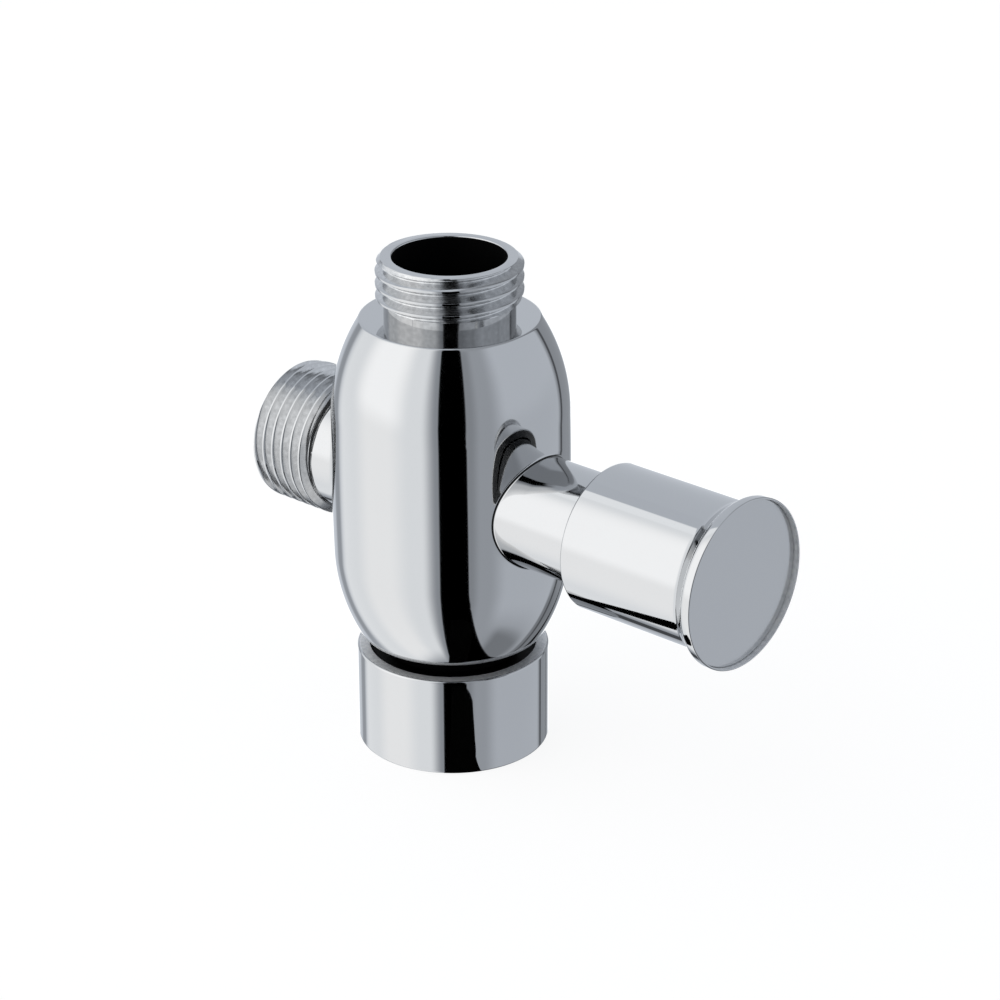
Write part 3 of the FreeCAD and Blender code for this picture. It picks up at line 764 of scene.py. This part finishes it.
def body_patches(scene):
    """The forging's patches: painted shade in its bores, in the gap above the nut, on the relief under the top
    thread, on the slope behind the side thread, on the foot's rounding and in the crease at the neck's root; and
    the dull thread grooves.
    """
    barrel, spigot, nut, neck = scene.valve_barrel, scene.valve_spigot, scene.valve_nut, scene.valve_neck
    way, finish = scene.valve_waterways, scene.valve_finishes
    edge = 0.02 * MM
    root_start, root_end = neck.radius + 2 * edge, neck.radius + neck.fillet * 0.4
    side_end = -BODY_LOW.x
    shoulder = barrel.base + barrel.length
    top_thread = shoulder + spigot.top_relief - spigot.back_chamfer
    side_thread = side_end - spigot.side_thread - spigot.back_chamfer
    groove = (0, spigot.crest - 0.35 * MM, 0.25 * MM, finish.groove, 0.16)
    bore_and_gap_shade = (finish.bore_and_gap_shade, 0.6)
    return [
        # Painted shade on the relief between the shoulder and the top thread
        Patch(BARREL_AXIS, shoulder + edge, top_thread, 0, spigot.relief + edge, edge, finish.relief, 0.09),
        Patch(BARREL_AXIS, top_thread, BODY_HIGH.z - spigot.rim_edge, *groove),
        Patch(SIDE_AXIS, side_thread, side_end - spigot.rim_edge, *groove),
        Patch(
            SIDE_AXIS, side_thread + edge, side_thread + spigot.back_chamfer * 0.9, 0, spigot.crest, edge,
            finish.runout, 0.3,
        ),
        # Painted shade, near black, in the top and side bores and on the tail in the gap above the nut
        Patch(BARREL_AXIS, way.top_floor - edge, BODY_HIGH.z + edge, 0, way.top_bore + edge, edge, *bore_and_gap_shade),
        Patch(SIDE_AXIS, 0, side_end + edge, 0, way.side_bore + edge, edge, *bore_and_gap_shade),
        Patch(BARREL_AXIS, 0, barrel.base, 0, nut.radius - nut.collar, 0.1 * MM, *bore_and_gap_shade),
        Patch(
            BARREL_AXIS, barrel.base, barrel.base + barrel.foot_edge * 0.6, 0, barrel.belly, 0.25 * MM,
            finish.foot, 0.06,
        ),
        # Painted shade in the crease where the neck leaves the barrel
        Patch(KNOB_AXIS, barrel.foot, barrel.belly + neck.fillet, root_start, root_end, edge, finish.root, 0.3),
    ]


def nut_patches(scene):
    """The nut's turned top, brightened with painted light, and painted shade near black over its recess and the
    dull thread inside.
    """
    nut, finish = scene.valve_nut, scene.valve_finishes
    recess = nut.radius - nut.collar
    edge = 0.02 * MM
    return [
        # Painted light: the nut's turned top, brightened
        Patch(
            BARREL_AXIS, nut.height - edge, nut.height + edge, 0, nut.radius - nut.edge, edge,
            finish.turned_painted_light, finish.turned,
        ),
        # Painted shade, near black, over the nut's recess, bore and thread
        Patch(BARREL_AXIS, -edge, nut.height - 2 * edge, 0, recess + edge, edge, finish.bore_and_gap_shade, 0.6),
    ]


def knob_patches(scene):
    """The turned wall around the cap, brightened with painted light, and painted shade on the end face of the
    sleeve.
    """
    knob, finish = scene.valve_knob, scene.valve_finishes
    wall = knob.cap + knob.cap_gap
    edge = 0.02 * MM
    return [
        # Painted light: the turned wall around the cap, brightened
        Patch(
            KNOB_AXIS, knob.cap_back, knob.face - 2 * edge, wall - edge, wall + edge, edge,
            finish.turned_painted_light, finish.turned,
        ),
        # Painted shade on the sleeve's end face, seen in the polish beside it
        Patch(
            KNOB_AXIS, knob.back - edge, knob.back + edge, 0, knob.sleeve - knob.sleeve_edge, edge,
            finish.sleeve_end_shade, 0.3,
        ),
    ]


def plain_metal(name, colour, roughness):
    """Turned metal with a fine grain and small changes of tone."""
    material, nodes, links, shader = new_material(name)
    shader.inputs["Metallic"].default_value = 1.0
    place = nodes.new("ShaderNodeTexCoord").outputs["Object"]
    grain = nodes.new("ShaderNodeTexNoise")
    grain.inputs["Scale"].default_value = 900
    grain.inputs["Detail"].default_value = 4
    links.new(place, grain.inputs["Vector"])
    tone = nodes.new("ShaderNodeMix")
    tone.data_type = "RGBA"
    tone.inputs["A"].default_value = (*[channel * 0.9 for channel in colour], 1)
    tone.inputs["B"].default_value = (*colour, 1)
    links.new(grain.outputs["Fac"], tone.inputs["Factor"])
    links.new(tone.outputs["Result"], shader.inputs["Base Color"])
    rough = nodes.new("ShaderNodeMapRange")
    rough.inputs["To Min"].default_value = roughness * 0.8
    rough.inputs["To Max"].default_value = roughness * 1.3
    links.new(grain.outputs["Fac"], rough.inputs["Value"])
    links.new(rough.outputs["Result"], shader.inputs["Roughness"])
    return material


def seal_rubber(finish):
    """Black moulded rubber with a fine matt grain."""
    material, nodes, links, shader = new_material("seal_rubber")
    place = nodes.new("ShaderNodeTexCoord").outputs["Object"]
    grain = nodes.new("ShaderNodeTexNoise")
    grain.inputs["Scale"].default_value = 2500
    grain.inputs["Detail"].default_value = 2
    links.new(place, grain.inputs["Vector"])
    tone = nodes.new("ShaderNodeMix")
    tone.data_type = "RGBA"
    tone.inputs["A"].default_value = (*[channel * 0.8 for channel in finish.rubber], 1)
    tone.inputs["B"].default_value = (*[channel * 1.3 for channel in finish.rubber], 1)
    links.new(grain.outputs["Fac"], tone.inputs["Factor"])
    links.new(tone.outputs["Result"], shader.inputs["Base Color"])
    shader.inputs["Roughness"].default_value = 0.55
    bump = nodes.new("ShaderNodeBump")
    bump.inputs["Strength"].default_value = 0.4
    bump.inputs["Distance"].default_value = 0.02 * MM
    links.new(grain.outputs["Fac"], bump.inputs["Height"])
    links.new(bump.outputs["Normal"], shader.inputs["Normal"])
    return material


class VALVE_OT_body(bpy.types.Operator):
    """Build the forged body with its threads and waterways"""

    bl_idname = "valve.body"
    bl_label = "Valve body"

    def execute(self, context):
        scene = context.scene
        barrel, spigot = scene.valve_barrel, scene.valve_spigot
        top_thread = barrel.base + barrel.length + spigot.top_relief
        side_end = -BODY_LOW.x
        side_thread = side_end - spigot.side_thread
        sunk = spigot.back_chamfer + 0.02 * MM
        top_bar = thread_bar(
            spigot, BARREL_AXIS, top_thread - sunk, BODY_HIGH.z, spigot.top_phase,
            male_limit(spigot, BODY_HIGH.z, top_thread), spigot.crest,
        )
        side_bar = thread_bar(
            spigot, SIDE_AXIS, side_thread - sunk, side_end, spigot.side_phase,
            male_limit(spigot, side_end, side_thread), spigot.crest,
        )
        piece = as_object(body_skin(scene), "body_forging")
        tools = [("UNION", top_bar), ("UNION", side_bar)]
        tools += [("DIFFERENCE", cutter) for cutter in waterways(scene)]
        combine(piece, tools)
        finish = scene.valve_finishes
        chrome = polished_chrome(finish, "chrome_forging", finish.polish, body_patches(scene))
        place_piece(piece, chrome, "valve", "valve_body")
        return {"FINISHED"}


class VALVE_OT_nut(bpy.types.Operator):
    """Build the swivel nut with its female thread"""

    bl_idname = "valve.nut"
    bl_label = "Swivel nut"

    def execute(self, context):
        scene = context.scene
        nut, spigot = scene.valve_nut, scene.valve_spigot
        flange = nut.height - nut.flange
        floor = nut.height - nut.recess
        ring = turned(BARREL_AXIS, [
            (0, nut.thread_root + nut.mouth, 0),
            (0, nut.radius, nut.edge),
            (nut.height, nut.radius, nut.edge),
            (nut.height, nut.radius - nut.collar, 0.1 * MM),
            (floor, nut.radius - nut.collar, 0),
            (floor, nut.bore, 0.1 * MM),
            (flange, nut.bore, 0),
            (flange, nut.relief, 0),
            (nut.thread_length, nut.relief, 0),
            (nut.thread_length, nut.thread_root, 0),
            (nut.mouth, nut.thread_root, 0),
        ], closed=True)
        tap = thread_bar(
            spigot, BARREL_AXIS, -OVERSHOOT, nut.thread_length + spigot.rim_edge, 0.0,
            lambda along: spigot.crest, spigot.crest - 0.02 * MM,
        )
        piece = as_object(ring, "union_nut")
        combine(piece, [("DIFFERENCE", tap)])
        finish = scene.valve_finishes
        chrome = polished_chrome(finish, "chrome_nut", finish.polish, nut_patches(scene))
        place_piece(piece, chrome, "inlet_nut", "swivel_nut")
        return {"FINISHED"}


class VALVE_OT_knob(bpy.types.Operator):
    """Build the pull knob and its cap"""

    bl_idname = "valve.knob"
    bl_label = "Pull knob and cap"

    def execute(self, context):
        scene = context.scene
        knob = scene.valve_knob
        band = knob.face - knob.rim_band
        flare_start = band - (knob.rim - knob.sleeve) / math.tan(knob.flare)
        cove_reach = knob.cove * math.tan(knob.flare / 2)
        cap_seat = knob.cap_face - knob.cap_flange
        opening, socket = knob.cap + knob.cap_gap, knob.cap_plug + knob.cap_gap
        sleeve = turned(KNOB_AXIS, [
            (knob.web_back, knob.hole, 0),
            (knob.web_back, knob.bore, 0),
            (knob.back, knob.bore, 0.1 * MM),
            (knob.back, knob.sleeve, knob.sleeve_edge),
            (flare_start, knob.sleeve, cove_reach),
            (band, knob.rim, knob.rim_back),
            (knob.face, knob.rim, knob.rim_edge),
            (knob.face, opening, 0.05 * MM),
            (cap_seat, opening, 0),
            (cap_seat, socket, 0),
            (knob.cap_back, socket, 0),
            (knob.cap_back, knob.pocket, 0),
            (knob.web_front, knob.pocket, 0),
            (knob.web_front, knob.hole, 0),
        ], closed=True)
        cap = turned(KNOB_AXIS, [
            (knob.cap_back, 0, 0),
            (knob.cap_back, knob.cap_plug, 0),
            (cap_seat, knob.cap_plug, 0),
            (cap_seat, knob.cap, 0),
            (knob.cap_face, knob.cap, knob.cap_edge),
            (knob.cap_face, 0, 0),
        ])
        finish = scene.valve_finishes
        chrome = polished_chrome(finish, "chrome_knob", finish.polish, knob_patches(scene))
        piece = as_object(sleeve, "knob_sleeve")
        place_piece(piece, chrome, "diverter", "pull_knob")
        satin = polished_chrome(finish, "chrome_cap", finish.satin)
        piece = as_object(cap, "knob_cap_disc")
        place_piece(piece, satin, "diverter", "knob_cap")
        return {"FINISHED"}


class VALVE_OT_inner_finishes(bpy.types.Operator):
    """Give the inner pieces their finishes"""

    bl_idname = "valve.inner_finishes"
    bl_label = "Inner finishes"

    def execute(self, context):
        finish = context.scene.valve_finishes
        materials = {
            "chrome_plate": polished_chrome(finish, "chrome_inner", finish.polish),
            "bare_brass": plain_metal("turned_brass", finish.brass, 0.25),
            "steel": plain_metal("stainless_steel", finish.steel, 0.3),
            "seal_rubber": seal_rubber(finish),
        }
        for part in frame["record"]["subparts"]:
            node = frame["nodes"][part["node"]]
            node.data.materials.clear()
            node.data.materials.append(materials[part["material_slot"]])
        return {"FINISHED"}


# Soft boxes, flags and tables around the object, each laid over the ones before it. In degrees: turn
# from the camera (right is positive), height above the horizon, softness of the edges; then the light
COOL = (0.935, 0.99, 1.075)
FAINT = (0.98, 1.0, 1.02)
NEUTRAL = (1.0, 1.0, 1.0)
ROOM_LEVEL = 0.53
Panel = namedtuple("Panel", "turn_start turn_end turn_soft low high height_soft level tint")
PANELS = [
    Panel(40, 128, 20, -90, -12, 14, 0.49, COOL),
    Panel(-180, 180, 1, -90, -62, 26, 0.33, COOL),
    Panel(17, 36, 20, -90, 70, 10, 0.36, COOL),
    Panel(12, 18, 10, -90, 70, 10, 0.27, COOL),
    Panel(22, 140, 14, 46, 90, 8, 0.33, COOL),
    Panel(128, 160, 6, -90, 70, 10, 0.28, COOL),
    Panel(124, 155, 5, -90, -38, 12, 0.20, COOL),
    Panel(66, 104, 18, -72, -58, 9, 0.21, COOL),
    Panel(129.5, 131.5, 2, -70, 70, 8, 0.08, COOL),
    Panel(170, 181, 6, -30, -16, 6, 1.0, NEUTRAL),
    Panel(-181, -171, 6, -30, -16, 6, 1.0, NEUTRAL),
    Panel(-146, -138, 7, -40, 5, 12, 0.32, COOL),
    Panel(-22, -5, 12, -90, 70, 8, 0.30, COOL),
    Panel(-124, -30, 16, -68, 60, 18, 0.85, FAINT),
    Panel(-84, -64, 24, -66, 60, 12, 0.96, NEUTRAL),
    Panel(-86, -64, 26, 0, 45, 14, 1.10, NEUTRAL),
    Panel(-150, -128, 3, 46, 90, 6, 0.52, COOL),
    Panel(-125, -113, 3, 46, 62, 6, 0.92, FAINT),
    Panel(-158, -146, 4, -60, -48, 3, 0.06, COOL),
]

# The black card that the lens looks through, in degrees. Below its level it runs on as black cloth up to a
# line across the floor
CARD_LEFT = -11.5
CARD_RIGHT = 13.2
CARD_TOP = 62
CARD_LEVEL = -5
CLOTH_SIDE = 150
CLOTH_BORDER = 0.347
CLOTH_TURN = 0.13

# Black card on the floor before the nut, seen in its polish alone: (right, forward) corners in millimetres
# from the barrel's axis, and how far it lies under the floor
LOW_CARD = [
    (-1.5, 12.0), (3.6, 12.0), (4.6, 15.6), (5.3, 18.0), (6.4, 20.2), (9.0, 27.0), (11.5, 34.6), (11.1, 36.9),
    (10.2, 38.6), (8.7, 40.2), (6.7, 41.6), (-1.5, 41.6),
]
LOW_CARD_DEPTH = 0.05 * MM


def studio_world(settings):
    """Soft studio light by direction, and a white background for the camera."""
    world = bpy.data.worlds.new("soft_studio")
    world.use_nodes = True
    nodes, links = world.node_tree.nodes, world.node_tree.links
    nodes.clear()
    direction = nodes.new("ShaderNodeTexCoord").outputs["Generated"]
    turned_to_camera = nodes.new("ShaderNodeVectorRotate")
    turned_to_camera.rotation_type = "Z_AXIS"
    turned_to_camera.inputs["Angle"].default_value = settings.azimuth
    links.new(direction, turned_to_camera.inputs["Vector"])
    parts = nodes.new("ShaderNodeSeparateXYZ")
    links.new(turned_to_camera.outputs["Vector"], parts.inputs["Vector"])
    turn = nodes.new("ShaderNodeMath")
    turn.operation = "ARCTAN2"
    links.new(parts.outputs["Y"], turn.inputs[0])
    links.new(parts.outputs["X"], turn.inputs[1])
    turn = turn.outputs["Value"]
    height = nodes.new("ShaderNodeMath")
    height.operation = "ARCSINE"
    links.new(parts.outputs["Z"], height.inputs[0])
    height = height.outputs["Value"]

    def within(value, start, end, soft):
        return band(nodes, links, value, math.radians(start), math.radians(end), math.radians(soft))

    def laid_over(light, cover, level, tint):
        mix = nodes.new("ShaderNodeMix")
        mix.data_type = "RGBA"
        links.new(cover, mix.inputs["Factor"])
        links.new(light, mix.inputs["A"])
        mix.inputs["B"].default_value = (*[level * channel for channel in tint], 1)
        return mix.outputs["Result"]

    room = nodes.new("ShaderNodeRGB")
    room.outputs["Color"].default_value = (*[ROOM_LEVEL * channel for channel in COOL], 1)
    light = room.outputs["Color"]
    for panel in PANELS:
        across = within(turn, panel.turn_start, panel.turn_end, panel.turn_soft)
        upright = within(height, panel.low, panel.high, panel.height_soft)
        light = laid_over(light, multiplied(nodes, links, across, upright), panel.level, panel.tint)
    upper = multiplied(
        nodes, links, within(turn, CARD_LEFT, CARD_RIGHT, 1.2), within(height, CARD_LEVEL, CARD_TOP, 8),
    )
    lower = multiplied(
        nodes, links, within(turn, CARD_LEFT, CLOTH_SIDE, 1.2), within(height, -91, CARD_LEVEL, 3),
    )
    sideways = nodes.new("ShaderNodeMath")
    sideways.operation = "MULTIPLY_ADD"
    sideways.inputs[1].default_value = CLOTH_TURN
    links.new(parts.outputs["X"], sideways.inputs[0])
    links.new(parts.outputs["Y"], sideways.inputs[2])
    lower = multiplied(nodes, links, lower, band(nodes, links, sideways.outputs["Value"], -2, CLOTH_BORDER, 0.012))
    for black in (upper, lower):
        light = laid_over(light, black, 0, NEUTRAL)

    studio = nodes.new("ShaderNodeBackground")
    links.new(light, studio.inputs["Color"])
    studio.inputs["Strength"].default_value = settings.light
    white = nodes.new("ShaderNodeBackground")
    white.inputs["Color"].default_value = (1, 1, 1, 1)
    path = nodes.new("ShaderNodeLightPath")
    choose = nodes.new("ShaderNodeMixShader")
    links.new(path.outputs["Is Camera Ray"], choose.inputs["Fac"])
    links.new(studio.outputs["Background"], choose.inputs[1])
    links.new(white.outputs["Background"], choose.inputs[2])
    output = nodes.new("ShaderNodeOutputWorld")
    links.new(choose.outputs["Shader"], output.inputs["Surface"])
    return world


def studio_camera(settings):
    """Camera at the place that the photograph was taken from."""
    across = math.cos(settings.elevation)
    away = Vector((
        across * math.cos(settings.azimuth),
        -across * math.sin(settings.azimuth),
        math.sin(settings.elevation),
    ))
    crossing = Vector((0, 0, AXIS_HEIGHT))
    upward = Vector((0, 0, 1))
    forward = -away
    right = forward.cross(upward).normalized()
    up = right.cross(forward)
    forward = (forward + right * math.tan(settings.yaw) + up * math.tan(settings.pitch)).normalized()
    right = forward.cross(upward).normalized()
    up = right.cross(forward)
    turned_right = right * math.cos(settings.roll) + up * math.sin(settings.roll)
    turned_up = up * math.cos(settings.roll) - right * math.sin(settings.roll)
    data = bpy.data.cameras.new("photo_camera")
    data.lens = settings.lens
    data.clip_start = 0.01
    camera = bpy.data.objects.new("photo_camera", data)
    facing = Matrix((turned_right, turned_up, -forward)).transposed()
    camera.matrix_world = Matrix.Translation(crossing + away * settings.distance) @ facing.to_4x4()
    return camera


def low_card(settings):
    """Black card under the floor, which no camera ray and no lamp meets."""
    forward = Vector((math.cos(settings.azimuth), -math.sin(settings.azimuth), 0))
    right = Vector((-forward.y, forward.x, 0))
    bm = bmesh.new()
    verts = []
    for across, ahead in LOW_CARD:
        place = right * across * MM + forward * ahead * MM
        verts.append(bm.verts.new((place.x, place.y, -LOW_CARD_DEPTH)))
    bmesh.ops.contextual_create(bm, geom=verts)
    card = as_object(bm, "low_card")
    card.visible_camera = False
    card.visible_diffuse = False
    card.visible_shadow = False
    material, _, _, shader = new_material("black_card")
    shader.inputs["Base Color"].default_value = (0.002, 0.002, 0.002, 1)
    shader.inputs["Roughness"].default_value = 1.0
    shader.inputs["Specular IOR Level"].default_value = 0.0
    card.data.materials.append(material)


class VALVE_OT_stage(bpy.types.Operator):
    """Build the pale floor, the studio light and the camera"""

    bl_idname = "valve.stage"
    bl_label = "Stage"

    def execute(self, context):
        scene = context.scene
        settings = scene.valve_studio
        scene.view_settings.view_transform = "Standard"
        scene.world = studio_world(settings)
        camera = studio_camera(settings)
        scene.collection.objects.link(camera)
        scene.camera = camera

        bm = bmesh.new()
        bmesh.ops.create_grid(bm, x_segments=1, y_segments=1, size=settings.floor / 2)
        floor = as_object(bm, "floor")
        floor.visible_glossy = False
        material, nodes, links, shader = new_material("pale_floor")
        shader.inputs["Base Color"].default_value = (*settings.floor_tint, 1)
        shader.inputs["Roughness"].default_value = 0.9
        glow = nodes.new("ShaderNodeEmission")
        glow.inputs["Strength"].default_value = settings.floor_glow
        path = nodes.new("ShaderNodeLightPath")
        weight = nodes.new("ShaderNodeMath")
        weight.operation = "MULTIPLY"
        weight.inputs[1].default_value = 0.8
        links.new(path.outputs["Is Camera Ray"], weight.inputs[0])
        mix = nodes.new("ShaderNodeMixShader")
        links.new(weight.outputs["Value"], mix.inputs["Fac"])
        links.new(shader.outputs["BSDF"], mix.inputs[1])
        links.new(glow.outputs["Emission"], mix.inputs[2])
        links.new(mix.outputs["Shader"], nodes["Material Output"].inputs["Surface"])
        floor.data.materials.append(material)
        low_card(settings)
        return {"FINISHED"}


OPERATORS = [VALVE_OT_inner_finishes, VALVE_OT_body, VALVE_OT_nut, VALVE_OT_knob, VALVE_OT_stage]
GROUPS = {
    "valve_barrel": BarrelSizes,
    "valve_spigot": SpigotSizes,
    "valve_neck": NeckSizes,
    "valve_waterways": WaterwaySizes,
    "valve_nut": NutSizes,
    "valve_knob": KnobSizes,
    "valve_finishes": Finishes,
    "valve_studio": StudioSettings,
}


class VALVE_PT_panel(bpy.types.Panel):
    """Sizes, finishes and build steps of the valve"""

    bl_idname = "VALVE_PT_panel"
    bl_label = "Shower diverter valve"
    bl_space_type = "VIEW_3D"
    bl_region_type = "UI"
    bl_category = "Valve"

    def draw(self, context):
        for operator in OPERATORS:
            self.layout.operator(operator.bl_idname)
        for attribute in GROUPS:
            group = getattr(context.scene, attribute)
            box = self.layout.box()
            box.label(text=attribute.replace("valve_", "").capitalize())
            for name in group.bl_rna.properties.keys():
                if name not in ("rna_type", "name"):
                    box.prop(group, name)


def register():
    for item in [*GROUPS.values(), *OPERATORS, VALVE_PT_panel]:
        bpy.utils.register_class(item)
    for attribute, group in GROUPS.items():
        setattr(bpy.types.Scene, attribute, PointerProperty(type=group))


def unregister():
    for attribute in GROUPS:
        delattr(bpy.types.Scene, attribute)
    for item in reversed([*GROUPS.values(), *OPERATORS, VALVE_PT_panel]):
        bpy.utils.unregister_class(item)


def main():
    register()
    bpy.ops.valve.inner_finishes()
    bpy.ops.valve.body()
    bpy.ops.valve.nut()
    bpy.ops.valve.knob()
    bpy.ops.valve.stage()


if __name__ == "__main__":
    main()
